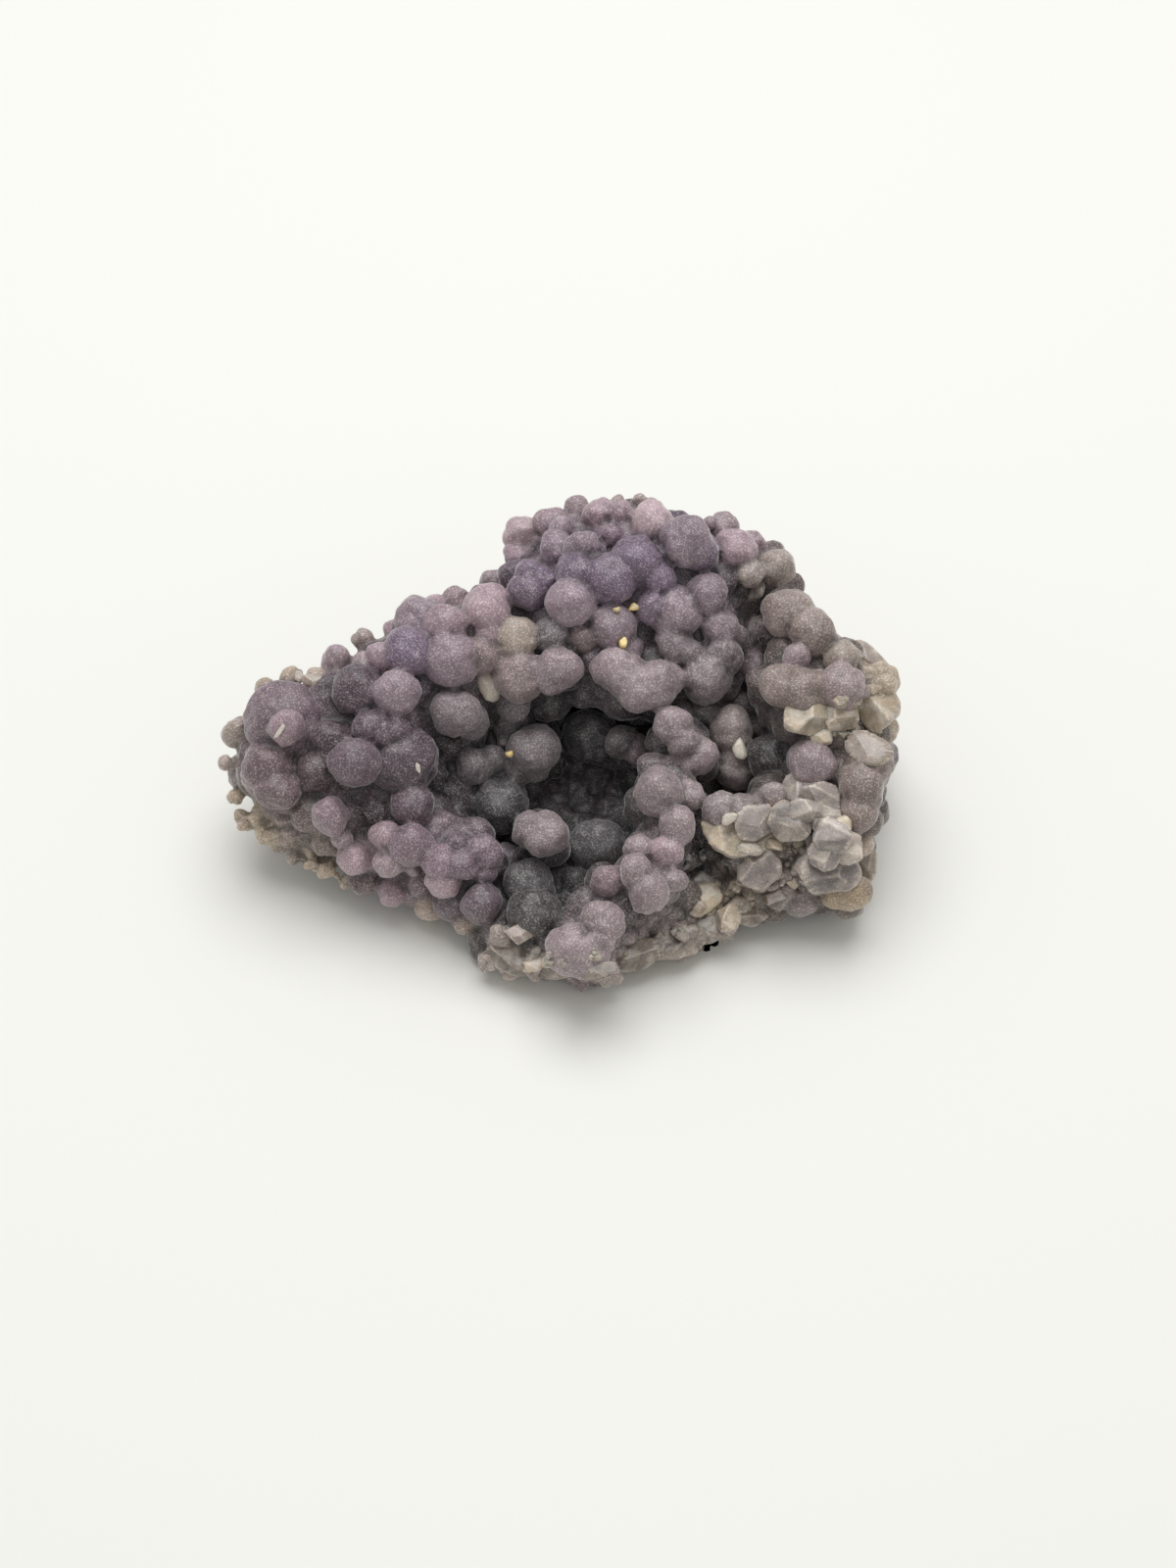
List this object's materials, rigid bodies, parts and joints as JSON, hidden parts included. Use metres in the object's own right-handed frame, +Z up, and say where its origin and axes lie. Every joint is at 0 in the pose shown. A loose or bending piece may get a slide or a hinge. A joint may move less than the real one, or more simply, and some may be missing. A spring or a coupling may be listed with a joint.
{
  "type": "botryoidal chalcedony cluster",
  "caption": "Purple grape agate cluster: round frosted chalcedony balls over a hollowed crust of grey matrix, with a broken pale rim.",
  "frame": {"origin": "middle of the footprint's bounding box, on the table", "axes": "+X to the right along the long tongue-to-rim length, +Y away from the viewer towards the tall back, +Z up"},
  "size_m": [0.0584, 0.0491, 0.0244],
  "materials": {
    "stone": "matte"
  },
  "bodies": {
    "root": {"grape_agate": "stone"}
  },
  "joints": []
}
